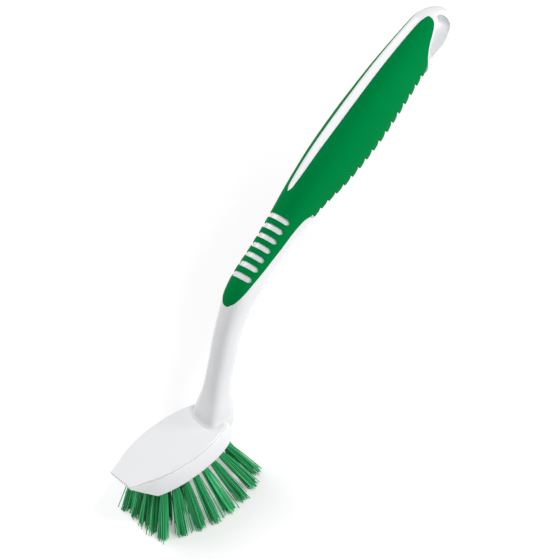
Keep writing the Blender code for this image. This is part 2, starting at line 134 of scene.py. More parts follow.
def smooth_line(points, steps):
    """Points on a curve that passes through the given ones, with this many steps between two of them."""
    points = np.array(points, float)
    points = np.vstack([2 * points[0] - points[1], points, 2 * points[-1] - points[-2]])
    before, start, end, after = points[:-3], points[1:-2], points[2:-1], points[3:]
    before, start, end, after = (part[:, None] for part in (before, start, end, after))
    u = (np.arange(steps) / steps)[None, :, None]
    line = 0.5 * (2 * start + (end - before) * u + (2 * before - 5 * start + 4 * end - after) * u ** 2
                  + (3 * start - before - 3 * end + after) * u ** 3)
    return np.vstack([line.reshape(-1, points.shape[1]), points[-2]])


stations = np.array(handle_shares)
stations[:, 0] = HEAD_LENGTH * foot_share + stations[:, 0] * HANDLE_REACH
stations[:, 1] *= HANDLE_RISE
line_x, line_z, depth_swell, width_swell = smooth_line(stations, curve_steps).T
run = np.concatenate([[0.0], np.cumsum(np.hypot(np.diff(line_x), np.diff(line_z)))])
below_deck = slice(3 * curve_steps)
run -= np.interp(0.0, line_z[below_deck], run[below_deck])
handle_length = run[-1]


def handle_halves(s):
    """Half the handle's depth and half its width, this far along it from the deck."""
    depth = NECK_DEPTH + (GRIP_DEPTH - NECK_DEPTH) * np.interp(s, run, depth_swell)
    width = NECK_WIDTH + (GRIP_WIDTH - NECK_WIDTH) * np.interp(s, run, width_swell)
    past = np.maximum(0.0, s - (handle_length - END_ROUND)) / END_ROUND
    ending = np.sqrt(np.maximum(0.0, 1 - past ** 2))
    return depth / 2 * ending, width / 2 * ending


def on_handle(s, depth, across=0.0):
    """Points this far along the handle, up from its middle line and across it."""
    s, depth, across = np.broadcast_arrays(*(np.asarray(value, float) for value in (s, depth, across)))
    step = handle_length / 200
    low, high = np.clip(s - step, run[0], run[-1]), np.clip(s + step, run[0], run[-1])
    ahead_x = np.interp(high, run, line_x) - np.interp(low, run, line_x)
    ahead_z = np.interp(high, run, line_z) - np.interp(low, run, line_z)
    size = np.hypot(ahead_x, ahead_z)
    return np.stack([
        np.interp(s, run, line_x) - depth * ahead_z / size,
        across,
        np.interp(s, run, line_z) + depth * ahead_x / size,
    ], axis=-1)


def surface_share(across):
    """How high the handle's surface stands at this share of its half width, as a share of half its depth."""
    return np.maximum(0.0, 1 - np.abs(across) ** (2 / section_power)) ** (section_power / 2)


def closed_skin(name, skins):
    """A mesh of closed skins, each drawn over rings of as many points, that faces out."""
    verts, faces = [], []
    for rings in skins:
        count, around = rings.shape[:2]
        base = len(verts)
        verts += rings.reshape(-1, 3).tolist()
        for i in range(count - 1):
            low, high = base + i * around, base + (i + 1) * around
            faces += [
                (low + j, low + (j + 1) % around, high + (j + 1) % around, high + j) for j in range(around)
            ]
        faces.append([base + j for j in reversed(range(around))])
        faces.append([base + (count - 1) * around + j for j in range(around)])
    mesh = bpy.data.meshes.new(name)
    mesh.from_pydata(verts, [], faces)
    bm = bmesh.new()
    bm.from_mesh(mesh)
    bmesh.ops.recalc_face_normals(bm, faces=bm.faces)
    bm.to_mesh(mesh)
    bm.free()
    thing = bpy.data.objects.new(name, mesh)
    bpy.context.scene.collection.objects.link(thing)
    return thing


def handle_skin(name, inwards, first, last, around=96, steps=300):
    """The handle's skin between two places along it, this far in. Its foot is squared, with a fillet."""
    even = np.linspace(first, min(last, handle_length - END_ROUND), steps)
    end_turn = np.append(np.sin(np.pi / 2 * np.arange(1, end_steps) / end_steps), end_stop_share)
    turned = handle_length - END_ROUND * (1 - end_turn)
    stops = np.append(even, turned[turned < last])
    fine = np.linspace(-FOOT_ZONE, FOOT_ZONE, 81)
    stops = np.unique(np.append(stops, fine[(fine > first) & (fine < last)]))
    half_depth, half_width = (np.maximum(half - inwards, THINNEST)[:, None] for half in handle_halves(stops))
    turn = 2 * np.pi * (np.arange(around) + 0.5) / around
    stops = stops[:, None]
    squared = np.clip(1 - stops / SQUARED_HEIGHT, 0.0, 1.0) ** squaring_power
    power = section_power - (section_power - foot_power) * squared
    across = half_width * np.sign(np.cos(turn)) * np.abs(np.cos(turn)) ** power
    up = np.sign(np.sin(turn)) * np.abs(np.sin(turn)) ** power
    toe = FOOT_TOE * np.maximum(0.0, 1 - np.abs(stops) / TOE_HEIGHT) ** 2 * np.maximum(up, 0.0)
    points = on_handle(stops, half_depth * up + toe, across)
    low = np.clip(1 - points[:, :, 2] / FILLET_HEIGHT, 0.0, 1.0)
    fillet = FILLET_REACH * low ** 2 * np.clip(fillet_side_share + fillet_rise * np.sin(turn), 0.0, 1.0)
    points[:, :, 0] -= fillet * up
    points[:, :, 1] += fillet * np.cos(turn)
    return closed_skin(name, [points])


def across_skin(name, outline, half_width):
    """A side view of points drawn out across the brush."""
    sides = [outline * (1, 0, 1) + (0, side, 0) for side in (-half_width, half_width)]
    return closed_skin(name, [np.array(sides)])


def carve(thing, operation, other):
    """Adds, cuts or keeps what the other mesh holds, and takes the other away."""
    modifier = thing.modifiers.new(operation, "BOOLEAN")
    modifier.operation = operation
    modifier.solver = "MANIFOLD"
    modifier.object = other
    bpy.context.view_layer.update()
    made = bpy.data.meshes.new_from_object(thing.evaluated_get(bpy.context.evaluated_depsgraph_get()))
    thing.modifiers.clear()
    thing.data = made
    bpy.data.objects.remove(other, do_unlink=True)


def normals_of(line, closed=True):
    """Unit vectors square to a line of points in two directions, on the right of the way it runs."""
    if closed:
        runs = np.roll(line, -1, axis=0) - np.roll(line, 1, axis=0)
    else:
        runs = np.vstack([line[1:], line[-1:]]) - np.vstack([line[:1], line[:-1]])
    runs /= np.linalg.norm(runs, axis=1)[:, None]
    return np.stack([runs[:, 1], -runs[:, 0]], axis=1)


def plan_outline():
    """The block seen from above, as points in x and y from one scraper corner round the back to the other."""
    side = [(0.0, SCRAPER_WIDTH / 2), *((x * HEAD_LENGTH, y * HEAD_WIDTH / 2) for x, y in plan_shares)]
    past_rear = smooth_line([*side, (HEAD_LENGTH, 0.0), (side[-1][0], -side[-1][1])], curve_steps)
    half = past_rear[: curve_steps * len(side)]
    return np.vstack([half, [(HEAD_LENGTH, 0.0)], half[::-1] * (1, -1)])


def block_skin():
    """The bristle block, with the groove under its deck's edge and the slope behind its scraper edge."""
    rings = []
    flat = plan_outline()
    along = flat[:, :1] / HEAD_LENGTH
    grooved = np.clip(np.minimum(along / groove_fade_share, (1 - along) / groove_fade_share), 0, 1)
    inset_here = np.clip(front_inset_share + (1 - front_inset_share) * along / full_inset_share, 0, 1)
    downs = sorted({*(down for down, inset in side_shares[1:]), *(down for down, depth in groove_shares)})
    insets = np.interp(downs, *zip(*side_shares[1:]))
    for down, inset in [side_shares[0], *zip(downs, insets)]:
        groove = np.interp(down, *zip(*groove_shares)) * grooved
        ring = flat + (inset * inset_here + groove) * DECK_INSET * normals_of(flat)
        rings.append(np.column_stack([ring, np.full(len(ring), -down * HEAD_HEIGHT)]))
    made = closed_skin("block", [np.array(rings)])
    slope = (HEAD_HEIGHT - SCRAPER_EDGE) / SCRAPER_REACH
    under = np.array([
        (-OVERRUN, 0, OVERRUN * slope - SCRAPER_EDGE),
        (SCRAPER_REACH + OVERRUN, 0, -HEAD_HEIGHT - OVERRUN * slope),
        (-OVERRUN, 0, -HEAD_HEIGHT - OVERRUN * slope),
    ])
    carve(made, "DIFFERENCE", across_skin("scraper_slope", under, HEAD_WIDTH))
    return made


def loop_skin():
    """The hang hole, whose rim is rounded where it meets the handle's sides."""
    slant = math.atan2(1.0, loop_lean)
    along, out = smooth_line([*loop_shares[-1:], *loop_shares, *loop_shares[:2]], 6)[6: -7].T * LOOP_LENGTH
    outline = np.stack([
        loop_share * handle_length + along * math.cos(slant) + out * math.sin(slant),
        LOOP_LIFT + along * math.sin(slant) - out * math.cos(slant),
    ], axis=1)
    outwards = normals_of(outline)
    if ((outline - outline.mean(axis=0)) * outwards).sum() < 0:
        outwards = -outwards
    half_depth, half_width = handle_halves(outline[:, 0])
    side = half_width * surface_share(np.clip(outline[:, 1] / half_depth, -0.999, 0.999))
    rings = [(outline + outwards * LOOP_RIM_ROUND * (1 - math.cos(angle)),
              side - LOOP_RIM_ROUND * (1 - math.sin(angle))) for angle in np.linspace(0, np.pi / 2, 7)]
    rings.append((outline + outwards * LOOP_RIM_ROUND * 1.05, side + OVERRUN))
    half = [on_handle(ring[:, 0], ring[:, 1], height) for ring, height in rings]
    other = [points * (1, -1, 1) for points in reversed(half)]
    return closed_skin("loop_hole", [np.array([*other, *half])])


SPINE_WINDOW_WIDTH = 0.0061
SPINE_POINT = 0.00008
WINDOW_OFFSET = 0.00155
RIB_WIDTH = 0.00281
RIB_BOW = 0.0006
RIB_RELIEF = 0.0006
RIB_COUNT = 7
TOOTH_COUNT = 17
nose_share = 0.260
ribs_share = 0.318
window_share = 0.515
teeth_share = 0.5035
teeth_end_share = 0.8850
grip_end_share = 0.9045
edge_shares = (
    (0.2588, 1.10), (0.2606, 1.00), (0.2680, 0.92), (0.2746, 0.82), (0.2926, 0.62), (0.3088, 0.49),
    (0.3513, 0.24), (0.3940, 0.12), (0.4226, 0.06), (0.4550, 0.04), (0.4834, -0.03), (0.4968, -0.18),
)
tooth_shares = (
    (-0.10, 0.22), (-0.04, 0.30), (0.06, 0.42), (0.21, 0.60), (0.45, 0.82), (0.75, 0.97), (0.93, 1.04),
    (1.03, 1.0), (0.98, 0.78), (0.90, 0.52), (0.87, 0.28),
)
first_tooth_from = 4
tooth_root_share = -0.25
tooth_tip_share = -0.59
belly_lead_share = -0.08
end_shares = (
    (0.36, 0.44), (0.415, 0.395), (0.45, 0.35), (0.445, 0.305), (0.40, 0.262), (0.285, 0.205), (0.14, 0.12),
    (0.0, 0.0), (-0.085, -0.10), (-0.146, -0.19), (-0.24, -0.36), (-0.30, -0.50), (-0.34, -0.62),
)
window_shares = (
    (0.0, 0.0), (0.015, 0.34), (0.031, 0.53), (0.113, 0.79), (0.278, 0.95), (0.40, 1.0), (0.62, 1.0),
    (0.80, 0.98), (0.88, 1.02), (0.92, 1.22), (0.955, 1.60), (1.0, 2.0),
)
window_floor_share = 0.45
rib_near_share = 0.86
rib_far_share = 0.94
rib_skew = 0.16
rib_point_share = 0.995
rib_end_share = 0.004
slant_grow = 1.4


def edge_zone(name, grow, with_teeth):
    """The side view of where the grip lies: its nose, its toothed lower edge and its slanted end."""
    end, far = grip_end_share * handle_length, GRIP_DEPTH
    s, share = smooth_line(edge_shares, 6).T
    nose = on_handle(s * handle_length, share * handle_halves(s * handle_length)[0])
    nose[:, ::2] += normals_of(nose[:, ::2], closed=False) * grow
    first, last = teeth_share * handle_length, teeth_end_share * handle_length
    if with_teeth:
        pitch = (last - first) / TOOTH_COUNT
        teeth = [
            smooth_line(tooth_shares[0 if i else first_tooth_from:], 4) + (i, 0) for i in range(TOOTH_COUNT)
        ]
        towards_head, outwards = np.vstack([*teeth, [(TOOTH_COUNT, 0.0)]]).T
        share = tooth_root_share + (tooth_tip_share - tooth_root_share) * outwards
        s = last - towards_head * pitch
        low = on_handle(s, share * handle_halves(s)[0])
    else:
        low = on_handle(np.linspace(last, first - belly_lead_share * far, 40), -far * 2 / 3)
    slant = smooth_line(end_shares, 5) * far
    slant = slant[slant[:, 1] > (tooth_root_share / 2 * far if with_teeth else -far)]
    slanted = on_handle(end + slant[:, 0] + slant_grow * grow, slant[:, 1])
    top = on_handle(np.linspace(nose_share * handle_length, end, 60)[:-1], far)
    corner = on_handle(end + slant[0, 0] + slant_grow * grow, far)[None]
    return across_skin(name, np.vstack([nose[::-1], top, corner, slanted, low]), GRIP_WIDTH)


def spine_skin(name, shrink):
    """The long window along the grip's spine, from its point near the ribs to past the loop."""
    first, last = window_share * handle_length + shrink, handle_length
    share, width = smooth_line(window_shares, 14).T
    s = first + share * (last - first)
    half = np.maximum(width * SPINE_WINDOW_WIDTH / 2 - shrink, SPINE_POINT)
    half_depth = handle_halves(np.minimum(s, last - END_ROUND))[0]
    low, high = window_floor_share * half_depth, half_depth + OVERRUN
    near, away = WINDOW_OFFSET - half, WINDOW_OFFSET + half
    corners = ((low, near), (low, away), (high, away), (high, near))
    return closed_skin(name, [np.stack([on_handle(s, depth, across) for depth, across in corners], axis=1)])


def rib_skins(name, shrink, relief):
    """The row of bowed windows across the top of the grip."""
    skins = []
    for i in range(RIB_COUNT):
        middle = ribs_share * handle_length + (2 * i + 0.5) * RIB_WIDTH
        half_depth, half_width = handle_halves(middle)
        near, away = rib_near_share * half_width, rib_far_share * half_width
        reach, half = (near + away) / 2 - shrink, RIB_WIDTH / 2 - shrink
        out = reach * np.sin(np.linspace(-np.pi / 2, np.pi / 2, 49) * rib_point_share)
        across = (away - near) / 2 + out
        past = np.maximum(0.0, np.abs(out) - (reach - half)) / half
        narrowed = half * np.sqrt(np.maximum(1 - past ** 2, rib_end_share))
        s = middle - rib_skew * across - RIB_BOW * (across / reach) ** 2
        top = np.full_like(s, half_depth + OVERRUN)
        if relief:
            top = (half_depth - relief) * surface_share(across / (half_width - relief))
        low = window_floor_share * half_depth * surface_share(across / half_width) + shrink
        corners = ((-1, low), (1, low), (1, top), (-1, top))
        edges = [on_handle(s + side * narrowed, depth, across) for side, depth in corners]
        skins.append(np.stack(edges, axis=1))
    return closed_skin(name, skins)


BRISTLE_HEIGHT = 0.0275
TUFT_DIAMETER = 0.0032
HOLE_DEPTH = 0.0074
HOLE_GAP = 0.0003
HOLE_MARGIN = 0.0044
FIRST_COLUMN = 0.0175
LAST_COLUMN_MARGIN = 0.0093
REAR_MARGIN = 0.0062
COLUMN_COUNT = 8
ANCHOR_HEIGHT = 0.0020
front_row_shares = (-1.0, -0.5, 0.0, 0.5, 1.0)
inner_row_share = 0.36
inner_columns = (1, 2)
fan_length_share = 0.50
fan_centre_share = 0.525
fan_width_shares = ((0.26, 0.36), (0.36, 0.70), (0.45, 0.90), (0.55, 1.05), (0.90, 1.05))


def tuft_roots():
    """The middle of each tuft on the underside of the block."""
    columns = np.linspace(FIRST_COLUMN, HEAD_LENGTH - LAST_COLUMN_MARGIN, COLUMN_COUNT)
    lengths, halves = zip((0.0, SCRAPER_WIDTH / HEAD_WIDTH), *plan_shares, (1.0, 0.0))
    reaches = np.interp(columns / HEAD_LENGTH, lengths, halves) * HEAD_WIDTH / 2 - HOLE_MARGIN
    places = [(columns[0], share * reaches[0]) for share in front_row_shares]
    places += [(x, side * reach) for x, reach in zip(columns[1:], reaches[1:]) for side in (-1, 1)]
    places += [(columns[i], side * inner_row_share * reaches[i]) for i in inner_columns for side in (-1, 1)]
    places.append((HEAD_LENGTH - REAR_MARGIN, 0.0))
    return [np.array((x, y, -HEAD_HEIGHT)) for x, y in places]


def tip_of(root):
    """Where a tuft that starts at this root meets the floor."""
    widened = np.interp(root[0] / HEAD_LENGTH, *zip(*fan_width_shares))
    fanned = fan_length_share * (root[0] - fan_centre_share * HEAD_LENGTH)
    return np.array((root[0] + fanned, root[1] * (1 + widened), -HEAD_HEIGHT - BRISTLE_HEIGHT))


def tuft_axes(root):
    """The way a tuft runs from its root, and two more unit vectors square to it."""
    ahead = tip_of(root) - root
    ahead /= np.linalg.norm(ahead)
    side = np.cross(ahead, (0.0, 1.0, 0.0))
    side /= np.linalg.norm(side)
    return ahead, side, np.cross(ahead, side)


def hole_skins(around=20):
    """The holes of the tufts, each slanted the way its tuft runs."""
    skins = []
    turn = 2 * np.pi * np.arange(around)[:, None] / around
    for root in tuft_roots():
        ahead, side, up = tuft_axes(root)
        ring = (TUFT_DIAMETER / 2 + HOLE_GAP) * (np.cos(turn) * side + np.sin(turn) * up)
        skins.append(np.array([root - ahead * HOLE_DEPTH + ring, root + ahead * OVERRUN + ring]))
    return closed_skin("tuft_holes", skins)


moulding = handle_skin("white_moulding", 0.0, run[0], handle_length)
carve(moulding, "UNION", block_skin())
grip_from = nose_share * handle_length - 2 * OVERRUN
grip_to = handle_length * 0.999
bore_to = handle_length * 0.998
pocket = handle_skin("pocket", -OVERRUN / 2, grip_from, grip_to)
carve(pocket, "DIFFERENCE", handle_skin("pocket_floor", GRIP_WALL + SEAM, grip_from - OVERRUN, bore_to))
carve(pocket, "INTERSECT", edge_zone("pocket_zone", SEAM, False))
carve(pocket, "DIFFERENCE", spine_skin("spine_land", SEAM))
carve(pocket, "DIFFERENCE", rib_skins("rib_lands", SEAM, RIB_RELIEF))
carve(moulding, "DIFFERENCE", pocket)
carve(moulding, "DIFFERENCE", loop_skin())
carve(moulding, "DIFFERENCE", hole_skins())

# Everything is drawn with the deck at z = 0 and the scraper's edge near x = 0. The wire anchor of the rear
# tuft, which stays the CAD solid, says where that lies in the frame.
rear_root = tuft_roots()[-1]
anchor_middle = rear_root - tuft_axes(rear_root)[0] * (HOLE_DEPTH - HOLE_GAP - ANCHOR_HEIGHT / 2)
anchor_low, anchor_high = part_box("anchor_24")
offset = (anchor_low + anchor_high) / 2 - Vector(anchor_middle)


def finish_shape(piece, sharp_angle):
    """Sets the piece in the frame and smooths its shading up to its edges."""
    piece.data.transform(Matrix.Translation(offset))
    piece.data.shade_smooth()
    piece.data.set_sharp_from_angle(angle=math.radians(sharp_angle))


moulded_sharp_angle = 32
finish_shape(moulding, moulded_sharp_angle)


def moulded_surface_group():
    """Colour, gloss and skin of a moulded plastic: slow shade changes and a faint grain."""
    group = bpy.data.node_groups.new("moulded_surface", "ShaderNodeTree")
    colour, number = "NodeSocketColor", "NodeSocketFloat"
    sockets = (
        ("Colour", colour, (0.8, 0.8, 0.8, 1.0)), ("Deep Colour", colour, (0.7, 0.7, 0.7, 1.0)),
        ("Cloud Scale", number, 40.0), ("Grain Scale", number, 1500.0),
        ("Smoothest", number, 0.25), ("Roughest", number, 0.35),
    )
    for name, kind, value in sockets:
        group.interface.new_socket(name, in_out="INPUT", socket_type=kind).default_value = value
    for name, kind in (("Colour", colour), ("Roughness", number), ("Height", number)):
        group.interface.new_socket(name, in_out="OUTPUT", socket_type=kind)
    nodes, links = group.nodes, group.links
    inputs, outputs = nodes.new("NodeGroupInput"), nodes.new("NodeGroupOutput")
    place = nodes.new("ShaderNodeTexCoord")
    cloud, grain = nodes.new("ShaderNodeTexNoise"), nodes.new("ShaderNodeTexNoise")
    for noise, scale in ((cloud, "Cloud Scale"), (grain, "Grain Scale")):
        links.new(place.outputs["Object"], noise.inputs["Vector"])
        links.new(inputs.outputs[scale], noise.inputs["Scale"])
        noise.inputs["Detail"].default_value = 3.0
    tint = nodes.new("ShaderNodeMix")
    tint.data_type = "RGBA"
    links.new(cloud.outputs["Fac"], tint.inputs["Factor"])
    links.new(inputs.outputs["Colour"], tint.inputs["A"])
    links.new(inputs.outputs["Deep Colour"], tint.inputs["B"])
    gloss = nodes.new("ShaderNodeMapRange")
    links.new(cloud.outputs["Fac"], gloss.inputs["Value"])
    links.new(inputs.outputs["Smoothest"], gloss.inputs["To Min"])
    links.new(inputs.outputs["Roughest"], gloss.inputs["To Max"])
    links.new(tint.outputs["Result"], outputs.inputs["Colour"])
    links.new(gloss.outputs["Result"], outputs.inputs["Roughness"])
    links.new(grain.outputs["Fac"], outputs.inputs["Height"])
    return group


moulded_surface = moulded_surface_group()


def moulded_material(name, values, grain_depth, specular):
    """A plastic whose colour, roughness and bump come from the moulded surface group."""
    made = bpy.data.materials.new(name)
    made.use_nodes = True
    nodes, links = made.node_tree.nodes, made.node_tree.links
    shader = nodes["Principled BSDF"]
    surface = nodes.new("ShaderNodeGroup")
    surface.node_tree = moulded_surface
    for socket, value in values.items():
        surface.inputs[socket].default_value = value
    bump = nodes.new("ShaderNodeBump")
    bump.inputs["Strength"].default_value = 1.0
    bump.inputs["Distance"].default_value = grain_depth
    links.new(surface.outputs["Colour"], shader.inputs["Base Color"])
    links.new(surface.outputs["Roughness"], shader.inputs["Roughness"])
    links.new(surface.outputs["Height"], bump.inputs["Height"])
    links.new(bump.outputs["Normal"], shader.inputs["Normal"])
    shader.inputs["Specular IOR Level"].default_value = specular
    return made


white_plastic = moulded_material("white_gloss_plastic", {
    "Colour": (0.80, 0.805, 0.815, 1.0), "Deep Colour": (0.78, 0.785, 0.80, 1.0),
    "Cloud Scale": 30.0, "Grain Scale": 900.0, "Smoothest": 0.14, "Roughest": 0.20,
}, 0.000002, 0.5)
moulding.data.materials.clear()
moulding.data.materials.append(white_plastic)
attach(moulding, "root")
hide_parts("handle_body")

# The grip is a satin green thermoplastic rubber, moulded over the core. Seven bowed windows and one long
# one let the white show through it, its lower edge ends in undercut teeth, and its end is cut on a slant.
grip = handle_skin("soft_grip", 0.0, grip_from, grip_to)
carve(grip, "DIFFERENCE", handle_skin("grip_bore", GRIP_WALL, grip_from - OVERRUN, bore_to))
carve(grip, "INTERSECT", edge_zone("grip_zone", 0.0, True))
carve(grip, "DIFFERENCE", spine_skin("spine_window", 0.0))
carve(grip, "DIFFERENCE", rib_skins("rib_windows", 0.0, 0.0))
finish_shape(grip, moulded_sharp_angle)
green_rubber = moulded_material("green_soft_plastic", {
    "Colour": (0.0, 0.215, 0.051, 1.0), "Deep Colour": (0.0, 0.195, 0.045, 1.0),
    "Cloud Scale": 45.0, "Grain Scale": 2600.0, "Smoothest": 0.42, "Roughest": 0.50,
}, 0.000010, 0.012)
green_rubber.node_tree.nodes["Principled BSDF"].inputs["Specular Tint"].default_value = (0.0, 0.62, 0.46, 1.0)
grip.data.materials.clear()
grip.data.materials.append(green_rubber)
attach(grip, "root")
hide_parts("grip_sleeve")

# Each tuft is a bundle of straight nylon filaments, folded round its anchor and driven into a slanted
# hole, so the tufts fan out. Their tips were trimmed level, and a few filaments stray from the bundle.
STRAND_DIAMETER = 0.00046
STRANDS_IN_TUFT = 52
STRAND_SIDES = 5
STRAND_BOW = 0.00016
TIP_SCATTER = 0.00022
TIP_LIFT = 0.0001
TIP_RAGGEDNESS = 0.0009
SIDE_LIMIT = 0.0288
tip_spread_share = 0.95
stray_share = 0.30
swell_share = 0.30
spread_change_share = 0.15
stray_spread_shares = (0.3, 2.2)
lean_shares = (
    (0.26, -0.040, 0.0), (0.52, -0.028, 0.0), (0.604, 0.012, 0.0), (0.69, 0.030, 0.0), (0.775, 0.060, -0.06),
    (0.86, 0.005, -0.18), (0.907, -0.250, 0.0),
)
rear_lean_share = -0.11
golden_turn = math.pi * (3 - math.sqrt(5))
outer_steps = np.linspace(0.0, 1.0, 5)
middle_tone = 0.5
tone_change = 0.28
# Painted shade at the roots: how dark it starts and how fast it fades along the strand.
root_reach = 0.15
reach_rise = 2.2
strand_sharp_angle = 60


def nylon_material():
    """Green nylon whose tone changes from strand to strand, with painted shade that darkens it towards the
    roots.
    """
    made = bpy.data.materials.new("green_nylon_filament")
    made.use_nodes = True
    nodes, links = made.node_tree.nodes, made.node_tree.links
    shader = nodes["Principled BSDF"]
    tone, reach = nodes.new("ShaderNodeAttribute"), nodes.new("ShaderNodeAttribute")
    tone.attribute_name, reach.attribute_name = "strand_tone", "strand_reach"
    by_strand, painted_root_shade = nodes.new("ShaderNodeMix"), nodes.new("ShaderNodeMix")
    by_strand.data_type = painted_root_shade.data_type = "RGBA"
    by_strand.inputs["A"].default_value = (0.0, 0.16, 0.04, 1.0)
    by_strand.inputs["B"].default_value = (0.07, 0.74, 0.27, 1.0)
    # Painted shade: the colour darkens towards each strand's root, where the bundle shades itself.
    painted_root_shade.inputs["A"].default_value = (0.0, 0.30, 0.08, 1.0)
    links.new(tone.outputs["Fac"], by_strand.inputs["Factor"])
    links.new(reach.outputs["Fac"], painted_root_shade.inputs["Factor"])
    links.new(by_strand.outputs["Result"], painted_root_shade.inputs["B"])
    links.new(painted_root_shade.outputs["Result"], shader.inputs["Base Color"])
    gloss = nodes.new("ShaderNodeMapRange")
    gloss.inputs["To Min"].default_value = 0.28
    gloss.inputs["To Max"].default_value = 0.45
    links.new(tone.outputs["Fac"], gloss.inputs["Value"])
    links.new(gloss.outputs["Result"], shader.inputs["Roughness"])
    shader.inputs["Specular IOR Level"].default_value = 0.3
    return made


green_nylon = nylon_material()
chance = np.random.default_rng(11)


def leaned_tip(root):
    """Where the tuft's tips have come to lie with use, a little off the line of its hole."""
    lengthwise, sideways = (
        np.interp(root[0] / HEAD_LENGTH, *np.array(lean_shares)[:, [0, column]].T) for column in (1, 2)
    )
    tip = tip_of(root) * (1, 1 + sideways, 1) + (lengthwise * BRISTLE_HEIGHT, 0, 0)
    at_rear = root[1] == 0 and root[0] > HEAD_LENGTH / 2
    return tip + (0, rear_lean_share * BRISTLE_HEIGHT, 0) if at_rear else tip


def strand_rings(root, number):
    """The rings along one strand, and the strand's own tone."""
    ahead, side, up = tuft_axes(root)
    tip = leaned_tip(root)
    inner = HOLE_DEPTH - ANCHOR_HEIGHT - 2 * HOLE_GAP
    radius = (TUFT_DIAMETER - STRAND_DIAMETER) / 2 * math.sqrt((number + 0.5) / STRANDS_IN_TUFT)
    around = number * golden_turn
    out = radius * (math.cos(around) * side + math.sin(around) * up)
    spread = 1 + tip_spread_share + spread_change_share * chance.standard_normal()
    if chance.random() < stray_share:
        spread += chance.uniform(*stray_spread_shares)
    start, end = root + out, tip + out * spread + chance.normal(0, TIP_SCATTER, 3)
    end[1] = np.clip(end[1], -SIDE_LIMIT, SIDE_LIMIT)
    end[2] = tip[2] + abs(chance.standard_normal()) * TIP_RAGGEDNESS + TIP_LIFT
    bow = out * swell_share + chance.normal(0, STRAND_BOW, 3)
    centres = [start - ahead * inner]
    centres += [start + (end - start) * past + bow * 4 * past * (1 - past) for past in outer_steps]
    turn = 2 * np.pi * np.arange(STRAND_SIDES)[:, None] / STRAND_SIDES
    ring = STRAND_DIAMETER / 2 * (np.cos(turn) * side + np.sin(turn) * up)
    tone = float(np.clip(chance.normal(middle_tone, tone_change), 0, 1))
    return np.array(centres)[:, None] + ring, tone


for number, root in enumerate(tuft_roots(), 1):
    strands = [strand_rings(root, i) for i in range(STRANDS_IN_TUFT)]
    bundle = closed_skin(f"bristle_tuft_{number:02d}", [rings for rings, tone in strands])
    per_strand = (len(outer_steps) + 1) * STRAND_SIDES
    tones = np.repeat([tone for rings, tone in strands], per_strand)
    # The mask of the painted root shade, low at the root and rising to 1 some way along the strand.
    strand_reach = np.clip(np.append(0.0, outer_steps) * reach_rise + root_reach, 0, 1)
    reaches = np.tile(np.repeat(strand_reach, STRAND_SIDES), len(strands))
    for name, values in (("strand_tone", tones), ("strand_reach", reaches)):
        bundle.data.attributes.new(name, "FLOAT", "POINT").data.foreach_set("value", values)
    bundle.data.materials.append(green_nylon)
    finish_shape(bundle, strand_sharp_angle)
    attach(bundle, "root")
    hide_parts(f"tuft_{number:02d}")

# The anchors are short flat clips of drawn wire, one at the bottom of each hole, which bite into the block.
# They are the CAD solids themselves, with the fine scratches that drawing leaves along the wire.
anchor_wire = bpy.data.materials.new("drawn_anchor_wire")
anchor_wire.use_nodes = True
wire_nodes, wire_links = anchor_wire.node_tree.nodes, anchor_wire.node_tree.links
wire_shader = wire_nodes["Principled BSDF"]
wire_shader.inputs["Metallic"].default_value = 1.0
wire_place = wire_nodes.new("ShaderNodeTexCoord")
wire_stretch = wire_nodes.new("ShaderNodeMapping")
wire_stretch.inputs["Scale"].default_value = (300.0, 300.0, 9000.0)
wire_scratch = wire_nodes.new("ShaderNodeTexNoise")
wire_tint = wire_nodes.new("ShaderNodeMix")
wire_tint.data_type = "RGBA"
wire_tint.inputs["A"].default_value = (0.52, 0.52, 0.51, 1.0)
wire_tint.inputs["B"].default_value = (0.74, 0.74, 0.73, 1.0)
wire_gloss = wire_nodes.new("ShaderNodeMapRange")
wire_gloss.inputs["To Min"].default_value = 0.22
wire_gloss.inputs["To Max"].default_value = 0.45
wire_bump = wire_nodes.new("ShaderNodeBump")
wire_bump.inputs["Distance"].default_value = 0.00001
wire_links.new(wire_place.outputs["Object"], wire_stretch.inputs["Vector"])
wire_links.new(wire_stretch.outputs["Vector"], wire_scratch.inputs["Vector"])
wire_links.new(wire_scratch.outputs["Fac"], wire_tint.inputs["Factor"])
wire_links.new(wire_scratch.outputs["Fac"], wire_gloss.inputs["Value"])
wire_links.new(wire_scratch.outputs["Fac"], wire_bump.inputs["Height"])
wire_links.new(wire_tint.outputs["Result"], wire_shader.inputs["Base Color"])
wire_links.new(wire_gloss.outputs["Result"], wire_shader.inputs["Roughness"])
wire_links.new(wire_bump.outputs["Normal"], wire_shader.inputs["Normal"])
for name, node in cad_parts.items():
    if name.startswith("anchor_"):
        node.data.materials.clear()
        node.data.materials.append(anchor_wire)

# The floor is a white sweep under the bristle tips. What the camera and the gloss see of it is lifted to
# white, and the light that reaches it still leaves the brush's soft shadow. On its left the lift is stronger:
# painted light that pales the shadow there.
FLOOR_SIZE = 6.0
floor_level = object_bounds()[0][2]
floor_mesh = bpy.data.meshes.new("studio_floor")
floor_mesh.from_pydata([(x * FLOOR_SIZE / 2, y * FLOOR_SIZE / 2, floor_level) for x, y in (
    (-1, -1), (1, -1), (1, 1), (-1, 1))], [], [(0, 1, 2, 3)])
floor = bpy.data.objects.new("studio_floor", floor_mesh)
bpy.context.scene.collection.objects.link(floor)
floor_paint = bpy.data.materials.new("white_sweep")
floor_paint.use_nodes = True
floor_nodes, floor_links = floor_paint.node_tree.nodes, floor_paint.node_tree.links
floor_nodes.clear()


def seen_directly(nodes, links):
    """1 for rays from the camera, and for those that gloss or clear material sends on."""
    rays = nodes.new("ShaderNodeLightPath")
    total = rays.outputs["Is Camera Ray"]
    for name in ("Is Glossy Ray", "Is Transmission Ray"):
        more = nodes.new("ShaderNodeMath")
        more.operation = "MAXIMUM"
        links.new(total, more.inputs[0])
        links.new(rays.outputs[name], more.inputs[1])
        total = more.outputs["Value"]
    return total


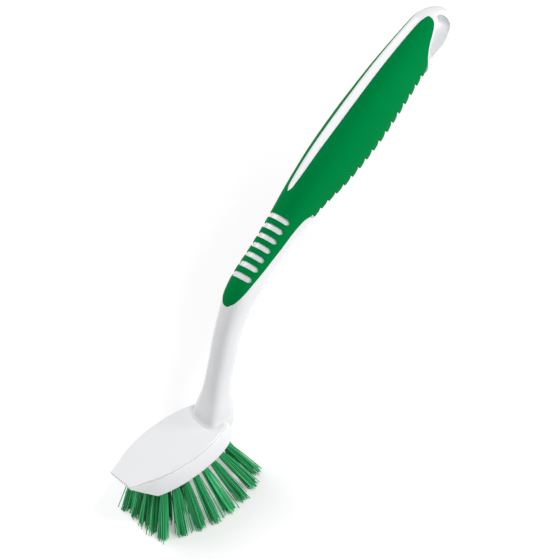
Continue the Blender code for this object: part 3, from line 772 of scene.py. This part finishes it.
FLOOR_GLOW = 0.31
# The stronger glow on the left is painted light that pales the brush's shadow on that side.
FLOOR_GLOW_LEFT = 0.50
GLOW_CHANGE_FROM = -0.106
GLOW_CHANGE_TO = -0.068
glow_direction = (0.773, -0.635, 0.0)
floor_matt = floor_nodes.new("ShaderNodeBsdfDiffuse")
floor_matt.inputs["Color"].default_value = (0.75, 0.75, 0.75, 1.0)
floor_glow = floor_nodes.new("ShaderNodeEmission")
floor_place = floor_nodes.new("ShaderNodeTexCoord")
floor_side = floor_nodes.new("ShaderNodeVectorMath")
floor_side.operation = "DOT_PRODUCT"
floor_side.inputs[1].default_value = glow_direction
floor_glow_change = floor_nodes.new("ShaderNodeMapRange")
floor_glow_change.interpolation_type = "SMOOTHSTEP"
for socket, value in (("From Min", GLOW_CHANGE_FROM), ("From Max", GLOW_CHANGE_TO),
                      ("To Min", FLOOR_GLOW_LEFT), ("To Max", FLOOR_GLOW)):
    floor_glow_change.inputs[socket].default_value = value
floor_links.new(floor_place.outputs["Object"], floor_side.inputs[0])
floor_links.new(floor_side.outputs["Value"], floor_glow_change.inputs["Value"])
floor_lift = floor_nodes.new("ShaderNodeMath")
floor_lift.operation = "MULTIPLY"
floor_links.new(floor_glow_change.outputs["Result"], floor_lift.inputs[1])
floor_links.new(seen_directly(floor_nodes, floor_links), floor_lift.inputs[0])
floor_links.new(floor_lift.outputs["Value"], floor_glow.inputs["Strength"])
floor_both = floor_nodes.new("ShaderNodeAddShader")
floor_out = floor_nodes.new("ShaderNodeOutputMaterial")
floor_links.new(floor_matt.outputs["BSDF"], floor_both.inputs[0])
floor_links.new(floor_glow.outputs["Emission"], floor_both.inputs[1])
floor_links.new(floor_both.outputs["Shader"], floor_out.inputs["Surface"])
floor_mesh.materials.append(floor_paint)

# The world is white where it is looked at, and a plain grey fill for the surfaces that it lights.
WORLD_FILL = 0.27
world = bpy.data.worlds.new("studio_world")
bpy.context.scene.world = world
world.use_nodes = True
world_nodes, world_links = world.node_tree.nodes, world.node_tree.links
world_back = world_nodes["Background"]
world_level = world_nodes.new("ShaderNodeMapRange")
world_level.inputs["To Min"].default_value = WORLD_FILL
world_level.inputs["To Max"].default_value = 1.0
world_links.new(seen_directly(world_nodes, world_links), world_level.inputs["Value"])
world_back.inputs["Color"].default_value = (1.0, 1.0, 1.0, 1.0)
world_links.new(world_level.outputs["Result"], world_back.inputs["Strength"])

# The camera looks down on the deck from the brush's near side, far off through a long lens, and rolled so
# that the handle climbs to the picture's upper right, as in the photograph.
PICTURE_PIXEL = 0.0005
PICTURE_SIZE = 560
LENS = 800.0
view_right = Vector((0.7630, -0.6270, -0.1595)).normalized()
view_up = Vector((0.5479, 0.4950, 0.6747)).normalized()
view_back = view_right.cross(view_up).normalized()
view_up = view_back.cross(view_right)
scraper_pixel = (120.0, 480.0)
middle_pixel = PICTURE_SIZE / 2
aim = offset + (view_right * (middle_pixel - scraper_pixel[0])
                + view_up * (scraper_pixel[1] - middle_pixel)) * PICTURE_PIXEL
camera_data = bpy.data.cameras.new("photograph_view")
camera_data.lens = LENS
distance = PICTURE_SIZE * PICTURE_PIXEL * LENS / camera_data.sensor_width
camera_data.clip_end = 20.0
camera = bpy.data.objects.new("photograph_view", camera_data)
bpy.context.scene.collection.objects.link(camera)
turned = Matrix((view_right, view_up, view_back)).transposed().to_4x4()
camera.matrix_world = Matrix.Translation(aim + view_back * distance) @ turned
bpy.context.scene.camera = camera

# Four soft square lights stand round the brush: beyond it on the left, at its right, over its near side, and
# a weak one on the left that lifts the scraper's front face.
LAMP_DISTANCE = 1.1


def softbox(name, toward, size, power):
    """A square soft light that faces the brush from this direction in the camera's own axes."""
    lamp = bpy.data.lights.new(name, "AREA")
    lamp.shape = "SQUARE"
    lamp.size = size
    lamp.energy = power
    thing = bpy.data.objects.new(name, lamp)
    bpy.context.scene.collection.objects.link(thing)
    direction = (view_right * toward[0] + view_up * toward[1] + view_back * toward[2]).normalized()
    thing.location = aim + direction * LAMP_DISTANCE
    thing.rotation_euler = direction.to_track_quat("Z", "Y").to_euler()


softbox("far_softbox", (-0.70, 0.70, 0.14), 0.8, 6.4)
softbox("right_softbox", (0.92, 0.12, 0.32), 0.42, 6.6)
softbox("front_softbox", (0.30, 0.35, 0.89), 0.3, 5.2)
softbox("left_softbox", (-0.80, -0.25, 0.55), 0.6, 0.8)
bpy.context.scene.view_settings.view_transform = "Standard"
